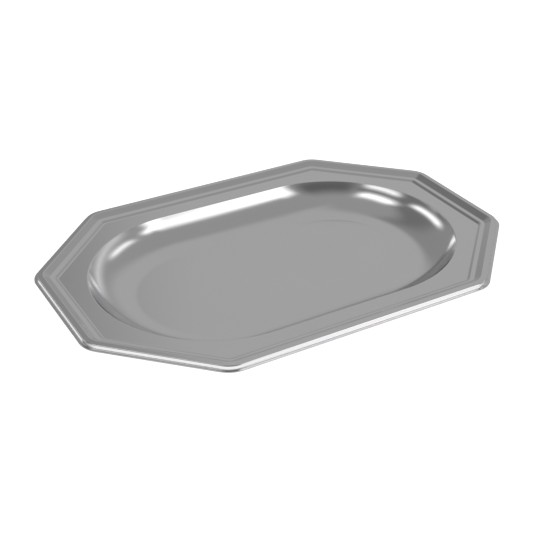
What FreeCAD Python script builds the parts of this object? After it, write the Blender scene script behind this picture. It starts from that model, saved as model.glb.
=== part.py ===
"""Octagonal catering platter, formed from one sheet of two-layer laminate.

A metallised facing film is bonded to a stiff core sheet, and the two are formed together. The outline
is a regular octagon pulled out along X. From the outside in, the sheet makes a trim lip, a skirt, a
bead with a narrow top, a sloping ledge, a flat flange and a stadium-shaped well.

Frame: millimetres, +Z up, X along the tray. The origin is the centre of the underside, on the plane
that the tray rests on.
"""
import math
import os

import FreeCAD
import Part

V = FreeCAD.Vector

# Driving dimensions.
LENGTH = 460.0
WIDTH = 320.0
WELL_DEPTH = 25.0  # flange down to the well's floor
BEAD_RISE = 6.4  # flange up to the top of the bead
LEDGE_OUTER_RISE = 2.35  # flange up to the ledge, where the bead comes down to it
LEDGE_INNER_RISE = 1.75  # flange up to the ledge, where it drops to the flange
FACING_THICKNESS = 0.15
CORE_THICKNESS = 0.75
OUTER_CORNER_RADIUS = 26.0

# Rim section: distances inwards from the cut edge.
SKIRT_INSET = 2.5  # foot of the skirt, where the trim lip ends
CREST_END = 8.7
LEDGE_END = 19.0
FLANGE_START = 21.9
RIM_END = 24.5  # the rim section hands over to the flat flange here

# Rim section: heights and rounding.
TRIM_LIP_DROP = 4.3  # top of the bead down to the trim lip
SKIRT_DRAFT = math.radians(10.0)  # how far the skirt leans in from vertical, to leave the mould
CREST_TILT = math.radians(4.5)  # the bead's narrow top rises inwards by this much
BEAD_SLOPE = math.radians(32.5)  # inner side of the bead, below horizontal
SHOULDER_RADIUS = 1.15
CREST_RADIUS = 2.0
LIP_CORNER_RADIUS = 0.8
LEDGE_OUTER_RADIUS = 4.0
LEDGE_INNER_RADIUS = 3.0
FLANGE_CORNER_RADIUS = 3.5

# Well section: the lip is where the flange would meet the straight wall if neither were rounded.
WELL_MARGIN = 38.8  # cut edge to that corner, the same all round
WALL_ANGLE = math.radians(56.0)
WELL_LIP_RADIUS = 1.5
WELL_FLOOR_RADIUS = 54.5
SECTION_OVERLAP = 2.0  # flat run at each end of the well section

# Sizes that follow from those above.
SHEET_THICKNESS = FACING_THICKNESS + CORE_THICKNESS
FLOOR_Z = SHEET_THICKNESS
FLANGE_Z = FLOOR_Z + WELL_DEPTH
LEDGE_OUTER_Z = FLANGE_Z + LEDGE_OUTER_RISE
LEDGE_INNER_Z = FLANGE_Z + LEDGE_INNER_RISE
BEAD_Z = FLANGE_Z + BEAD_RISE
TRIM_LIP_Z = BEAD_Z - TRIM_LIP_DROP
HALF_WIDTH = WIDTH / 2
SPINE = (LENGTH - WIDTH) / 2  # the octagon's two halves stand this far from the centre
WELL_RADIUS = HALF_WIDTH - WELL_MARGIN

# The outline, with its sides counted anticlockwise from the one on +X.
SIDES = 8
LONG_SIDES = (2, 6)
EIGHTH_TURN = 360.0 / SIDES


def rim_corners():
    """Corner points of the rim's top surface as (inset, z, rounding radius), from the cut edge in."""
    rise, lean = math.tan(CREST_TILT), math.tan(SKIRT_DRAFT)
    above_bead = math.tan((CREST_TILT + BEAD_SLOPE) / 2) * math.sin(CREST_TILT) + math.cos(CREST_TILT) - 1
    peak = BEAD_Z + CREST_RADIUS * above_bead
    shoulder = (peak - (CREST_END - SKIRT_INSET + TRIM_LIP_Z * lean) * rise) / (1 - lean * rise)
    skirt_top = SKIRT_INSET + (shoulder - TRIM_LIP_Z) * lean
    ledge_start = CREST_END + (peak - LEDGE_OUTER_Z) / math.tan(BEAD_SLOPE)
    return [
        (0.0, TRIM_LIP_Z, 0.0),
        (SKIRT_INSET, TRIM_LIP_Z, LIP_CORNER_RADIUS),
        (skirt_top, shoulder, SHOULDER_RADIUS),
        (CREST_END, peak, CREST_RADIUS),
        (ledge_start, LEDGE_OUTER_Z, LEDGE_OUTER_RADIUS),
        (LEDGE_END, LEDGE_INNER_Z, LEDGE_INNER_RADIUS),
        (FLANGE_START, FLANGE_Z, FLANGE_CORNER_RADIUS),
        (RIM_END, FLANGE_Z, 0.0),
    ]


def well_corners():
    """Corner points of the well's top surface as (distance in from the lip corner, z, radius)."""
    wall_run = WELL_DEPTH / math.tan(WALL_ANGLE)
    lip_run = WELL_LIP_RADIUS * math.tan(WALL_ANGLE / 2)
    floor_run = WELL_FLOOR_RADIUS * math.tan(WALL_ANGLE / 2)
    return [
        (-lip_run - SECTION_OVERLAP, FLANGE_Z, 0.0),
        (0.0, FLANGE_Z, WELL_LIP_RADIUS),
        (wall_run, FLOOR_Z, WELL_FLOOR_RADIUS),
        (wall_run + floor_run + SECTION_OVERLAP, FLOOR_Z, 0.0),
    ]


def section_wire(corners, depth):
    """The rounded path through corners, moved down into the sheet by depth. It lies in the XZ plane."""
    points = [V(x, 0, z) for x, z, _ in corners]
    runs = [(b - a).normalize() for a, b in zip(points, points[1:])]
    downs = [V(run.z, 0, -run.x) for run in runs]
    moved = [points[0] + downs[0] * depth]
    for before, after, here in zip(downs, downs[1:], points[1:]):
        moved.append(here + (before + after) * (depth / (1 + before.dot(after))))
    moved.append(points[-1] + downs[-1] * depth)

    edges = []
    start = moved[0]
    for i in range(1, len(moved) - 1):
        before, after = runs[i - 1], runs[i]
        turns_up = before.cross(after).y < 0
        radius = corners[i][2] + (depth if turns_up else -depth)
        angle = before.getAngle(after)
        reach = radius * math.tan(angle / 2)
        leave, rejoin = moved[i] - before * reach, moved[i] + after * reach
        inwards = (after - before).normalize()
        middle = moved[i] + inwards * (radius / math.cos(angle / 2) - radius)
        edges.append(Part.LineSegment(start, leave).toShape())
        edges.append(Part.Arc(leave, middle, rejoin).toShape())
        start = rejoin
    edges.append(Part.LineSegment(start, moved[-1]).toShape())
    return Part.Wire(edges)


def section_face(corners, top_depth, bottom_depth):
    """The slice of one layer along a section, between two depths below the top surface."""
    top = section_wire(corners, top_depth)
    bottom = section_wire(corners, bottom_depth)
    ends = [
        Part.LineSegment(top.OrderedVertexes[i].Point, bottom.OrderedVertexes[i].Point).toShape()
        for i in (0, -1)
    ]
    return Part.Face(Part.Wire(Part.__sortEdges__(top.Edges + bottom.Edges + ends)))


def placed(face, origin, inwards_degrees):
    """face moved so that its X axis starts at origin and points along inwards_degrees in plan."""
    out = face.copy()
    turn = FreeCAD.Rotation(V(0, 0, 1), inwards_degrees)
    out.Placement = FreeCAD.Placement(origin, turn)
    return out


def octagon_sides():
    """(middle of the side, outward direction in degrees, length of the side) for all eight sides."""
    side = 2 * HALF_WIDTH * math.tan(math.radians(EIGHTH_TURN / 2))
    sides = []
    for k in range(SIDES):
        degrees = k * EIGHTH_TURN
        out = V(math.cos(math.radians(degrees)), math.sin(math.radians(degrees)), 0)
        if k in LONG_SIDES:
            sides.append((out * HALF_WIDTH, degrees, side + 2 * SPINE))
        else:
            centre = V(math.copysign(SPINE, out.x), 0, 0)
            sides.append((centre + out * HALF_WIDTH, degrees, side))
    return sides


def rim_solids(top_depth, bottom_depth):
    """The rim of one layer: eight straight runs, and eight rounded corners between them."""
    face = section_face(rim_corners(), top_depth, bottom_depth)
    lost = OUTER_CORNER_RADIUS * math.tan(math.radians(EIGHTH_TURN / 2))
    solids = []
    for middle, degrees, length in octagon_sides():
        angle = math.radians(degrees)
        out = V(math.cos(angle), math.sin(angle), 0)
        along = V(-out.y, out.x, 0)
        straight = length - 2 * lost
        start = placed(face, middle - along * (straight / 2), degrees + 180)
        end = placed(face, middle + along * (straight / 2), degrees + 180)
        pivot = middle + along * (straight / 2) - out * OUTER_CORNER_RADIUS
        solids.append(start.extrude(along * straight))
        solids.append(end.revolve(pivot, V(0, 0, 1), EIGHTH_TURN))
    return solids


def well_solids(top_depth, bottom_depth):
    """The well's wall in one layer: two straight runs and two half turns."""
    face = section_face(well_corners(), top_depth, bottom_depth)
    solids = []
    for sign in (1, -1):
        pivot = V(sign * SPINE, 0, 0)
        rim_point = pivot + V(0, -sign * WELL_RADIUS, 0)
        start = placed(face, rim_point, 90.0 * sign)
        solids.append(start.revolve(pivot, V(0, 0, 1), 180.0))
        solids.append(start.extrude(V(-sign * 2 * SPINE, 0, 0)))
    return solids


def stadium(radius, z):
    """A stadium-shaped wire round the spine."""
    a, b = V(SPINE, -radius, z), V(SPINE, radius, z)
    c, d = V(-SPINE, radius, z), V(-SPINE, -radius, z)
    return Part.Wire([
        Part.Arc(a, V(SPINE + radius, 0, z), b).toShape(),
        Part.LineSegment(b, c).toShape(),
        Part.Arc(c, V(-SPINE - radius, 0, z), d).toShape(),
        Part.LineSegment(d, a).toShape(),
    ])


def octagon(inset, z):
    """The tray's outline, moved in by inset, with its rounded corners."""
    lost = OUTER_CORNER_RADIUS * math.tan(math.radians(EIGHTH_TURN / 2))
    edges, ends = [], []
    for middle, degrees, length in octagon_sides():
        angle = math.radians(degrees)
        out = V(math.cos(angle), math.sin(angle), 0)
        along = V(-out.y, out.x, 0)
        half = length / 2 - lost
        base = middle - out * inset + V(0, 0, z)
        pivot = middle + along * half - out * OUTER_CORNER_RADIUS + V(0, 0, z)
        ends.append((base - along * half, base + along * half, pivot, angle))
    for k, (start, end, pivot, angle) in enumerate(ends):
        following = ends[(k + 1) % len(ends)][0]
        bisector = angle + math.radians(EIGHTH_TURN / 2)
        reach = OUTER_CORNER_RADIUS - inset
        middle = pivot + V(math.cos(bisector), math.sin(bisector), 0) * reach
        edges.append(Part.LineSegment(start, end).toShape())
        edges.append(Part.Arc(end, middle, following).toShape())
    return Part.Wire(edges)


def flange_solid(top_depth, bottom_depth):
    """The flat flange of one layer, between the rim section and the well section."""
    z = FLANGE_Z - bottom_depth
    inner = WELL_RADIUS - well_corners()[0][0]
    plate = Part.Face([octagon(RIM_END, z), stadium(inner, z)], "Part::FaceMakerBullseye")
    return plate.extrude(V(0, 0, bottom_depth - top_depth))


def floor_solid(top_depth, bottom_depth):
    """The flat floor of the well in one layer."""
    z = FLOOR_Z - bottom_depth
    radius = WELL_RADIUS - well_corners()[-1][0]
    return Part.Face(stadium(radius, z)).extrude(V(0, 0, bottom_depth - top_depth))


def layer(top_depth, bottom_depth):
    """One layer of the laminate as a single solid, between two depths below the top surface."""
    pieces = rim_solids(top_depth, bottom_depth) + well_solids(top_depth, bottom_depth)
    pieces.append(flange_solid(top_depth, bottom_depth))
    pieces.append(floor_solid(top_depth, bottom_depth))
    return pieces[0].multiFuse(pieces[1:]).removeSplitter()


def check_and_export(name, shape):
    """Writes one node, after making sure that it is a single sound solid."""
    assert len(shape.Solids) == 1 and shape.isValid(), name
    shape.Solids[0].exportStep(os.path.join("parts", name + ".step"))
    box = shape.optimalBoundingBox(False, False)
    print(name, "volume", round(shape.Volume), "mm3, box", box, "faces", len(shape.Faces))


os.makedirs("parts", exist_ok=True)
check_and_export("facing_film", layer(0.0, FACING_THICKNESS))
check_and_export("core_sheet", layer(FACING_THICKNESS, SHEET_THICKNESS))
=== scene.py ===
"""Looks of the octagonal serving tray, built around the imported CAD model.

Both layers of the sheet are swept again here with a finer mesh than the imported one, because the facing
is bright metal and shows every facet. All sizes are in metres, in the CAD frame.
"""

import math

import bpy
import numpy as np
from mathutils import Euler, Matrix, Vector


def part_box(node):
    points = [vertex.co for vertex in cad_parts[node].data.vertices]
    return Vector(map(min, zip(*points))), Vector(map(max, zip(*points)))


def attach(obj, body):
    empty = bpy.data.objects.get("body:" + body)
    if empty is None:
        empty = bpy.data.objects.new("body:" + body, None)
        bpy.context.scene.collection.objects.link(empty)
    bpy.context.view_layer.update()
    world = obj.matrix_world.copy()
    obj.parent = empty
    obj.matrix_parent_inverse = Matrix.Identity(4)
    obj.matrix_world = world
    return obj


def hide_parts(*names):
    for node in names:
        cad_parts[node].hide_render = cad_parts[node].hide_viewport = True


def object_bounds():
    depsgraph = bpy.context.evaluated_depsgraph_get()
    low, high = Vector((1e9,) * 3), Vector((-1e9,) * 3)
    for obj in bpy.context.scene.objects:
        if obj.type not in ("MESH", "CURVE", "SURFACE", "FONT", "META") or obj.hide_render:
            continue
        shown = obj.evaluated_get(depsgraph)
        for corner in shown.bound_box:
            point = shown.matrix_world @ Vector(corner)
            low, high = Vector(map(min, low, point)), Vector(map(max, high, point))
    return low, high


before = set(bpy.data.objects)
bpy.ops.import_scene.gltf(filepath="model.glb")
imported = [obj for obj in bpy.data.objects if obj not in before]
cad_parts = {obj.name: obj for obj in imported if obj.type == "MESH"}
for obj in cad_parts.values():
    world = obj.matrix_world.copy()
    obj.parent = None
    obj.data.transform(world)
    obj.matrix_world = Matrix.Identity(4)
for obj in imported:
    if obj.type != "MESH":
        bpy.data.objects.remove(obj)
CAD_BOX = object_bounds()

MM = 0.001

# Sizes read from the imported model.
CORE_LOW, CORE_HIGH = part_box("core_sheet")
FILM_LOW, FILM_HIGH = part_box("facing_film")
LENGTH = FILM_HIGH.x - FILM_LOW.x
WIDTH = FILM_HIGH.y - FILM_LOW.y
BEAD_Z = FILM_HIGH.z
FLOOR_Z = FILM_LOW.z + (FILM_HIGH.z - CORE_HIGH.z)
SHEET_THICKNESS = FLOOR_Z - CORE_LOW.z
FACING_THICKNESS = FILM_HIGH.z - CORE_HIGH.z

# Rim section: distances in from the cut edge, then heights and rounding.
SKIRT_INSET = 2.5 * MM
CREST_END = 8.7 * MM
LEDGE_END = 19.0 * MM
FLANGE_START = 21.9 * MM
RIM_END = 24.5 * MM
BEAD_RISE = 6.4 * MM
LEDGE_OUTER_RISE = 2.35 * MM
LEDGE_INNER_RISE = 1.75 * MM
TRIM_LIP_DROP = 4.3 * MM
SKIRT_DRAFT = math.radians(10.0)
CREST_TILT = math.radians(4.5)
BEAD_SLOPE = math.radians(32.5)
SHOULDER_RADIUS = 1.15 * MM
CREST_RADIUS = 2.0 * MM
LIP_CORNER_RADIUS = 0.8 * MM
LEDGE_OUTER_RADIUS = 4.0 * MM
LEDGE_INNER_RADIUS = 3.0 * MM
FLANGE_CORNER_RADIUS = 3.5 * MM
OUTER_CORNER_RADIUS = 26.0 * MM

# Well section.
WELL_MARGIN = 38.8 * MM
WALL_ANGLE = math.radians(56.0)
WELL_LIP_RADIUS = 1.5 * MM
WELL_FLOOR_RADIUS = 54.5 * MM
SECTION_OVERLAP = 2.0 * MM

# Sizes that follow from those above.
FLANGE_Z = BEAD_Z - BEAD_RISE
LEDGE_OUTER_Z = FLANGE_Z + LEDGE_OUTER_RISE
LEDGE_INNER_Z = FLANGE_Z + LEDGE_INNER_RISE
TRIM_LIP_Z = BEAD_Z - TRIM_LIP_DROP
WELL_DEPTH = FLANGE_Z - FLOOR_Z
HALF_WIDTH = WIDTH / 2
SPINE = (LENGTH - WIDTH) / 2
WELL_RADIUS = HALF_WIDTH - WELL_MARGIN

# The outline, with its sides counted anticlockwise from the one on +X.
SIDES = 8
LONG_SIDES = (2, 6)
EIGHTH_TURN = math.radians(360.0 / SIDES)

# Fineness of the swept mesh.
STATION_SPACING = 5.0 * MM
CORNER_STEPS = 9
ARC_STEP = math.radians(5.0)
ARC_SPACING = 1.2 * MM
RUN_SPACING = 1.5 * MM
SUPPORT = 0.12 * MM  # distance from a bend to the row that holds its shading
SHORTEST_RUN = 4 * SUPPORT
LEAST_ARC_STEPS = 3
MATCHING_DIGITS = 7  # decimal places to which two stations count as the same
FLANGE_ROWS = 5
FLOOR_ROWS = 14
SHARP_ANGLE = math.radians(40.0)

# Slight unevenness that a large thin formed sheet always has.
RIPPLE_HEIGHT = 0.05 * MM
RIPPLE_LENGTHS = (0.190, 0.127, 0.083)
RIPPLE_HEADINGS = (0.4, 1.7, 2.6)
RIPPLE_PHASES = (0.3, 1.1, 2.0)


def rim_corners():
    """Corner points of the rim's top surface as (inset, z, rounding radius), from the cut edge in."""
    rise, lean = math.tan(CREST_TILT), math.tan(SKIRT_DRAFT)
    half_bend = (CREST_TILT + BEAD_SLOPE) / 2
    above_bead = math.tan(half_bend) * math.sin(CREST_TILT) + math.cos(CREST_TILT) - 1
    peak = BEAD_Z + CREST_RADIUS * above_bead
    shoulder = (peak - (CREST_END - SKIRT_INSET + TRIM_LIP_Z * lean) * rise) / (1 - lean * rise)
    skirt_top = SKIRT_INSET + (shoulder - TRIM_LIP_Z) * lean
    ledge_start = CREST_END + (peak - LEDGE_OUTER_Z) / math.tan(BEAD_SLOPE)
    return [
        (0.0, TRIM_LIP_Z, 0.0),
        (SKIRT_INSET, TRIM_LIP_Z, LIP_CORNER_RADIUS),
        (skirt_top, shoulder, SHOULDER_RADIUS),
        (CREST_END, peak, CREST_RADIUS),
        (ledge_start, LEDGE_OUTER_Z, LEDGE_OUTER_RADIUS),
        (LEDGE_END, LEDGE_INNER_Z, LEDGE_INNER_RADIUS),
        (FLANGE_START, FLANGE_Z, FLANGE_CORNER_RADIUS),
        (RIM_END, FLANGE_Z, 0.0),
    ]


def well_corners():
    """Corner points of the well's top surface as (distance in from the lip corner, z, radius)."""
    wall_run = WELL_DEPTH / math.tan(WALL_ANGLE)
    lip_run = WELL_LIP_RADIUS * math.tan(WALL_ANGLE / 2)
    floor_run = WELL_FLOOR_RADIUS * math.tan(WALL_ANGLE / 2)
    return [
        (-lip_run - SECTION_OVERLAP, FLANGE_Z, 0.0),
        (0.0, FLANGE_Z, WELL_LIP_RADIUS),
        (wall_run, FLOOR_Z, WELL_FLOOR_RADIUS),
        (wall_run + floor_run + SECTION_OVERLAP, FLOOR_Z, 0.0),
    ]


def run_points(start, end, nominal):
    """Points from start up to end on a straight run, with one close to each end to hold the shading."""
    span = np.linalg.norm(end - start)
    if min(nominal, span) < SHORTEST_RUN:
        return [start]
    count = max(1, round(nominal / RUN_SPACING))
    near = SUPPORT / span
    return [start + (end - start) * t for t in [0.0, *np.linspace(near, 1 - near, count + 1)]]


def rounded_path(corners, depth):
    """The rounded path through corners, moved down into the sheet by depth, as rows of (inset, z)."""
    points = np.array([corner[:2] for corner in corners])
    runs = np.diff(points, axis=0)
    lengths = np.linalg.norm(runs, axis=1)
    runs = runs / lengths[:, None]
    downs = np.column_stack([runs[:, 1], -runs[:, 0]])
    path = []
    start = points[0] + downs[0] * depth
    for i in range(1, len(points) - 1):
        before, after = runs[i - 1], runs[i]
        shared = 1 + downs[i - 1] @ downs[i]
        corner = points[i] + (downs[i - 1] + downs[i]) * (depth / shared)
        turns_up = before[0] * after[1] - before[1] * after[0] > 0
        radius = corners[i][2] + (depth if turns_up else -depth)
        angle = math.acos(max(-1.0, min(1.0, before @ after)))
        leave = corner - before * radius * math.tan(angle / 2)
        side = -downs[i - 1] if turns_up else downs[i - 1]
        centre = leave + side * radius
        path += run_points(start, leave, lengths[i - 1])
        steps = max(LEAST_ARC_STEPS, math.ceil(angle / ARC_STEP), math.ceil(angle * radius / ARC_SPACING))
        for turned in np.linspace(0.0, angle, steps + 1)[:-1]:
            path.append(centre + radius * (before * math.sin(turned) - side * math.cos(turned)))
        start = centre + radius * (before * math.sin(angle) - side * math.cos(angle))
    path += run_points(start, points[-1] + downs[-1] * depth, lengths[-1])
    path.append(points[-1] + downs[-1] * depth)
    return np.array(path)


def octagon(inset):
    """Stations round the outline, moved in by inset. Each lies straight in from its place outside."""
    side = 2 * HALF_WIDTH * math.tan(EIGHTH_TURN / 2)
    lost = OUTER_CORNER_RADIUS * math.tan(EIGHTH_TURN / 2)
    ring = []
    for k in range(SIDES):
        angle = k * EIGHTH_TURN
        out = np.array([math.cos(angle), math.sin(angle)])
        along = np.array([-out[1], out[0]])
        centre = np.zeros(2)
        length = side + 2 * SPINE
        if k not in LONG_SIDES:
            centre = np.array([math.copysign(SPINE, out[0]), 0.0])
            length = side
        half = length / 2 - lost
        count = round(2 * half / STATION_SPACING)
        for t in np.linspace(-half, half, count + 1)[:-1]:
            ring.append(centre + out * (HALF_WIDTH - inset) + along * t)
        pivot = centre + out * (HALF_WIDTH - OUTER_CORNER_RADIUS) + along * half
        for turned in np.linspace(angle, angle + EIGHTH_TURN, CORNER_STEPS + 1)[:-1]:
            reach = OUTER_CORNER_RADIUS - inset
            ring.append(pivot + reach * np.array([math.cos(turned), math.sin(turned)]))
    return np.array(ring)


OUTLINE = octagon(0.0)
SPINE_POINTS = np.column_stack([np.clip(OUTLINE[:, 0], -SPINE, SPINE), np.zeros(len(OUTLINE))])
AWAY = OUTLINE - SPINE_POINTS
AWAY = AWAY / np.linalg.norm(AWAY, axis=1)[:, None]


def stadium(radius):
    """The same stations on a stadium round the spine."""
    return SPINE_POINTS + AWAY * radius


def at_height(ring, z):
    """A ring of stations, lifted from the plan to height z."""
    return np.column_stack([ring, np.full(len(ring), z)])


def surface_rings(depth):
    """Rings of stations from the cut edge in to the middle of the floor, on one surface of a layer."""
    rings = [at_height(octagon(inset), z) for inset, z in rounded_path(rim_corners(), depth)]
    well = rounded_path(well_corners(), depth)
    outer = rings[-1]
    inner = at_height(stadium(WELL_RADIUS - well[0][0]), well[0][1])
    for t in np.linspace(0.0, 1.0, FLANGE_ROWS + 1)[1:-1]:
        rings.append(outer * (1 - t) + inner * t)
    rings += [at_height(stadium(WELL_RADIUS - reach), z) for reach, z in well]
    last = WELL_RADIUS - well[-1][0]
    for t in np.linspace(1.0, 0.0, FLOOR_ROWS + 1)[1:-1]:
        rings.append(at_height(stadium(last * t), well[-1][1]))
    return rings


def ripple(points):
    """How far the sheet stands up at each point. It is never below zero, so the tray rests on z = 0."""
    lift = np.zeros(len(points))
    for length, heading, phase in zip(RIPPLE_LENGTHS, RIPPLE_HEADINGS, RIPPLE_PHASES):
        along = points[:, 0] * math.cos(heading) + points[:, 1] * math.sin(heading)
        lift += 0.5 + 0.5 * np.sin(2 * math.pi * along / length + phase)
    return lift * RIPPLE_HEIGHT / len(RIPPLE_LENGTHS)


def surface(depth, first):
    """(vertices, faces) of one surface of a layer, with its faces upwards and numbered from first."""
    rings = surface_rings(depth)
    stations = len(OUTLINE)
    middle_x = sorted(set(np.round(SPINE_POINTS[:, 0], MATCHING_DIGITS)))
    middle = np.array([(x, 0.0, rings[-1][0][2]) for x in middle_x])
    middle_index = {x: first + len(rings) * stations + i for i, x in enumerate(middle_x)}
    faces = []
    for row in range(len(rings) - 1):
        for k in range(stations):
            following = (k + 1) % stations
            outer, inner = first + row * stations, first + (row + 1) * stations
            faces.append((outer + k, outer + following, inner + following, inner + k))
    last = first + (len(rings) - 1) * stations
    for k in range(stations):
        following = (k + 1) % stations
        here = middle_index[round(SPINE_POINTS[k, 0], MATCHING_DIGITS)]
        there = middle_index[round(SPINE_POINTS[following, 0], MATCHING_DIGITS)]
        face = (last + k, last + following, there, here)
        faces.append(face if here != there else face[:3])
    vertices = np.vstack([*rings, middle])
    vertices[:, 2] += ripple(vertices)
    return vertices, faces


def layer(name, top_depth, bottom_depth, material, node):
    """One layer of the sheet as a closed mesh that stands for its CAD node."""
    top, top_faces = surface(top_depth, 0)
    bottom, bottom_faces = surface(bottom_depth, len(top))
    stations = len(OUTLINE)
    faces = list(top_faces)
    faces += [tuple(reversed(face)) for face in bottom_faces]
    for k in range(stations):
        following = (k + 1) % stations
        faces.append((following, k, len(top) + k, len(top) + following))
    mesh = bpy.data.meshes.new(name)
    mesh.from_pydata(np.vstack([top, bottom]).tolist(), [], faces)
    mesh.validate()
    mesh.shade_smooth()
    mesh.set_sharp_from_angle(angle=SHARP_ANGLE)
    mesh.materials.append(material)
    piece = bpy.data.objects.new(name, mesh)
    bpy.context.scene.collection.objects.link(piece)
    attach(piece, "root")
    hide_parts(node)


WHITE = (1.0, 1.0, 1.0, 1.0)
NOISE_SPAN = (0.3, 0.7)  # the part of its range that a noise texture mostly stays in


class Nodes:
    """A short way to add nodes to a tree and join them up."""

    def __init__(self, tree):
        self.tree = tree
        self.tree.nodes.clear()

    def add(self, kind, inputs=(), **settings):
        node = self.tree.nodes.new(kind)
        for key, value in settings.items():
            setattr(node, key, value)
        for key, value in dict(inputs).items():
            self.put(node.inputs[key], value)
        return node

    def put(self, socket, value):
        if isinstance(value, bpy.types.NodeSocket):
            self.tree.links.new(value, socket)
        else:
            socket.default_value = value

    def maths(self, operation, *values):
        node = self.add("ShaderNodeMath", operation=operation)
        for socket, value in zip(node.inputs, values):
            self.put(socket, value)
        return node.outputs[0]

    def ramp(self, value, low, high, start, end):
        limits = {"Value": value, "From Min": low, "From Max": high, "To Min": start, "To Max": end}
        node = self.add("ShaderNodeMapRange", limits, interpolation_type="SMOOTHSTEP")
        return node.outputs["Result"]

    def noise(self, place, scale, detail=2.0):
        inputs = {"Vector": place, "Scale": scale, "Detail": detail}
        return self.add("ShaderNodeTexNoise", inputs).outputs["Fac"]


def new_material(name):
    """A new material and the maker of its nodes."""
    material = bpy.data.materials.new(name)
    material.use_nodes = True
    return material, Nodes(material.node_tree)


def metallised_facing():
    """Aluminium coat under a clear film: bright satin metal, a little uneven in its gloss."""
    material, nodes = new_material("metallised_facing")
    place = nodes.add("ShaderNodeTexCoord").outputs["Object"]
    cloud = nodes.noise(place, 14.0)
    grain = nodes.noise(place, 900.0, 3.0)
    gloss = nodes.ramp(cloud, *NOISE_SPAN, 0.10, 0.13)
    roughness = nodes.maths("MULTIPLY_ADD", grain, 0.02, gloss)
    shades = {"Factor": cloud, "A": (0.82, 0.81, 0.825, 1), "B": (0.86, 0.85, 0.86, 1)}
    tint = nodes.add("ShaderNodeMix", shades, data_type="RGBA")
    bump = nodes.add("ShaderNodeBump", {"Strength": 0.04, "Distance": 0.05 * MM, "Height": grain})
    shader = nodes.add("ShaderNodeBsdfPrincipled", {
        "Base Color": tint.outputs[2],
        "Metallic": 1.0,
        "Roughness": roughness,
        "Coat Weight": 0.25,
        "Coat Roughness": 0.08,
        "Normal": bump.outputs["Normal"],
    })
    nodes.add("ShaderNodeOutputMaterial", {"Surface": shader.outputs["BSDF"]})
    return material


def polystyrene_core():
    """Silver-grey plastic sheet, semi-gloss, with a faint flow pattern."""
    material, nodes = new_material("polystyrene_core")
    place = nodes.add("ShaderNodeTexCoord").outputs["Object"]
    cloud = nodes.noise(place, 22.0)
    grain = nodes.noise(place, 700.0, 3.0)
    shades = {"Factor": cloud, "A": (0.40, 0.40, 0.41, 1), "B": (0.46, 0.46, 0.47, 1)}
    tint = nodes.add("ShaderNodeMix", shades, data_type="RGBA")
    bump = nodes.add("ShaderNodeBump", {"Strength": 0.12, "Distance": 0.1 * MM, "Height": grain})
    shader = nodes.add("ShaderNodeBsdfPrincipled", {
        "Base Color": tint.outputs[2],
        "Metallic": 0.25,
        "Roughness": nodes.ramp(cloud, *NOISE_SPAN, 0.32, 0.42),
        "Normal": bump.outputs["Normal"],
    })
    nodes.add("ShaderNodeOutputMaterial", {"Surface": shader.outputs["BSDF"]})
    return material


def pale_floor():
    """Plain white floor. In reflections it is bright in front of the tray and falls off behind it."""
    material, nodes = new_material("pale_floor")
    place = nodes.add("ShaderNodeTexCoord").outputs["Object"]
    cloud = nodes.noise(place, 3.0)
    shades = {"Factor": cloud, "A": (0.80, 0.80, 0.80, 1), "B": (0.83, 0.83, 0.83, 1)}
    tint = nodes.add("ShaderNodeMix", shades, data_type="RGBA")
    angles = {"Vector": place, "Angle": math.radians(FLOOR_BRIGHT_HEADING)}
    turn = nodes.add("ShaderNodeVectorRotate", angles, rotation_type="Z_AXIS")
    ahead = nodes.add("ShaderNodeSeparateXYZ", {"Vector": turn.outputs["Vector"]}).outputs["Y"]
    reflected = nodes.ramp(ahead, *FLOOR_FALLOFF, FLOOR_DIM, FLOOR_BRIGHT)
    camera_ray = nodes.add("ShaderNodeLightPath").outputs["Is Camera Ray"]
    seen = nodes.maths("MULTIPLY", camera_ray, FLOOR_GLOW)
    shader = nodes.add("ShaderNodeBsdfPrincipled", {
        "Base Color": tint.outputs[2],
        "Roughness": 0.9,
        "Specular IOR Level": 0.1,
        "Emission Color": WHITE,
        "Emission Strength": nodes.maths("MAXIMUM", reflected, seen),
    })
    nodes.add("ShaderNodeOutputMaterial", {"Surface": shader.outputs["BSDF"]})
    return material


# Light. The camera sees a white floor. The tray reflects one that is brighter on the bright heading,
# which is in degrees from +Y towards +X, and falls off between two distances from the middle.
FLOOR_GLOW = 0.95
FLOOR_BRIGHT_HEADING = 195.0
FLOOR_DIM = 0.02
FLOOR_BRIGHT = 0.75
FLOOR_FALLOFF = (0.08, 0.20)
BASE_LIGHT = 0.32


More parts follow.
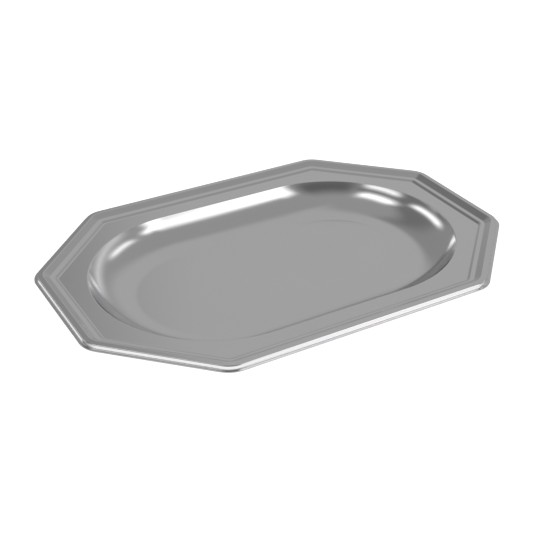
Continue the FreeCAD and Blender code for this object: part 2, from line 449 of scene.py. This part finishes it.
class Studio:
    """Even light from all round, with soft panels and dark flags hung in it."""

    def __init__(self, nodes):
        self.nodes = nodes
        self.direction = nodes.add("ShaderNodeTexCoord").outputs["Generated"]
        self.total = BASE_LIGHT

    def panel(self, strength, heading, elevation, width, height, softness=12.0, slope=0.0):
        """Hangs a panel. Angles are in degrees, and a heading is measured from +Y towards +X.

        The slope raises the panel along its width. A negative strength makes it a flag.
        """
        nodes = self.nodes
        angles = {"Vector": self.direction, "Angle": math.radians(heading)}
        turn = nodes.add("ShaderNodeVectorRotate", angles, rotation_type="Z_AXIS")
        parts = nodes.add("ShaderNodeSeparateXYZ", {"Vector": turn.outputs["Vector"]}).outputs
        across = nodes.maths("ARCTAN2", parts["X"], parts["Y"])
        middle = nodes.maths("MULTIPLY_ADD", across, slope, math.radians(elevation))
        upwards = nodes.maths("SUBTRACT", nodes.maths("ARCSINE", parts["Z"]), middle)
        edge = math.radians(softness) / 2
        half_width = math.radians(width) / 2
        half_height = math.radians(height) / 2
        sideways = nodes.maths("ABSOLUTE", across)
        off_level = nodes.maths("ABSOLUTE", upwards)
        inside = nodes.ramp(sideways, half_width - edge, half_width + edge, 1.0, 0.0)
        level = nodes.ramp(off_level, half_height - edge, half_height + edge, 1.0, 0.0)
        lit = nodes.maths("MULTIPLY", nodes.maths("MULTIPLY", inside, level), strength)
        self.total = nodes.maths("ADD", self.total, lit)


def light_the_world():
    """A pale studio: a tall key on the right, two strips high on the left, dimmer light behind."""
    world = bpy.data.worlds.new("studio")
    world.use_nodes = True
    bpy.context.scene.world = world
    nodes = Nodes(world.node_tree)
    studio = Studio(nodes)
    # The key on the right, with a strip above it.
    studio.panel(strength=1.05, heading=145, elevation=30, width=20, height=50)
    studio.panel(strength=1.6, heading=130, elevation=45, width=15, height=5)
    # Two strips high on the left.
    studio.panel(strength=2.2, heading=275, elevation=60, width=50, height=5, softness=20, slope=-0.15)
    studio.panel(strength=1.6, heading=265, elevation=40, width=40, height=5, softness=15, slope=-0.1)
    # Behind on the left.
    studio.panel(strength=1.8, heading=325, elevation=30, width=35, height=5, slope=-0.5)
    studio.panel(strength=0.4, heading=310, elevation=10, width=30, height=20)
    # A patch on the right side, over a long low streak.
    studio.panel(strength=1.2, heading=95, elevation=35, width=25, height=5, slope=0.5)
    studio.panel(strength=0.5, heading=80, elevation=15, width=65, height=5, softness=20, slope=0.25)
    # A dark card behind, and one high in front.
    studio.panel(strength=-0.15, heading=310, elevation=25, width=140, height=65)
    studio.panel(strength=-0.2, heading=200, elevation=50, width=70, height=30, softness=25)
    # A faint glow at the back on the right.
    studio.panel(strength=0.1, heading=20, elevation=30, width=80, height=55, softness=25, slope=0.6)
    camera_ray = nodes.add("ShaderNodeLightPath").outputs["Is Camera Ray"]
    strength = nodes.maths("MAXIMUM", studio.total, camera_ray)
    background = nodes.add("ShaderNodeBackground", {"Color": WHITE, "Strength": strength})
    nodes.add("ShaderNodeOutputWorld", {"Surface": background.outputs["Background"]})


# Camera: where it looks, measured from the middle of the bead's plane, then its side, height and range.
AIM = Vector((-0.0299, -0.0309, 0.0))
VIEW_HEADING = math.radians(29.86)
VIEW_PITCH = math.radians(30.82)
VIEW_DISTANCE = 1.0006
SENSOR_WIDTH = 36.0
LENS = 70.63
FLOOR_HALF_SIZE = 6.0


def place_camera():
    """The camera, at the viewing angle above."""
    data = bpy.data.cameras.new("camera")
    data.sensor_width = SENSOR_WIDTH
    data.lens = LENS
    data.clip_start = 0.01
    camera = bpy.data.objects.new("camera", data)
    bpy.context.scene.collection.objects.link(camera)
    turn = Euler((math.pi / 2 - VIEW_PITCH, 0.0, -VIEW_HEADING))
    camera.rotation_euler = turn
    middle = (CAD_BOX[0] + CAD_BOX[1]) / 2
    middle.z = CAD_BOX[1].z
    camera.location = middle + AIM + turn.to_matrix() @ Vector((0.0, 0.0, VIEW_DISTANCE))
    bpy.context.scene.camera = camera


def lay_floor():
    """A wide floor at the height that the tray rests on."""
    mesh = bpy.data.meshes.new("floor")
    s = FLOOR_HALF_SIZE
    z = CAD_BOX[0].z
    mesh.from_pydata([(-s, -s, z), (s, -s, z), (s, s, z), (-s, s, z)], [], [(0, 1, 2, 3)])
    mesh.materials.append(pale_floor())
    floor = bpy.data.objects.new("floor", mesh)
    bpy.context.scene.collection.objects.link(floor)


layer("formed_facing", 0.0, FACING_THICKNESS, metallised_facing(), "facing_film")
layer("formed_core", FACING_THICKNESS, SHEET_THICKNESS, polystyrene_core(),
      "core_sheet")
light_the_world()
place_camera()
lay_floor()
bpy.context.scene.view_settings.view_transform = "Standard"
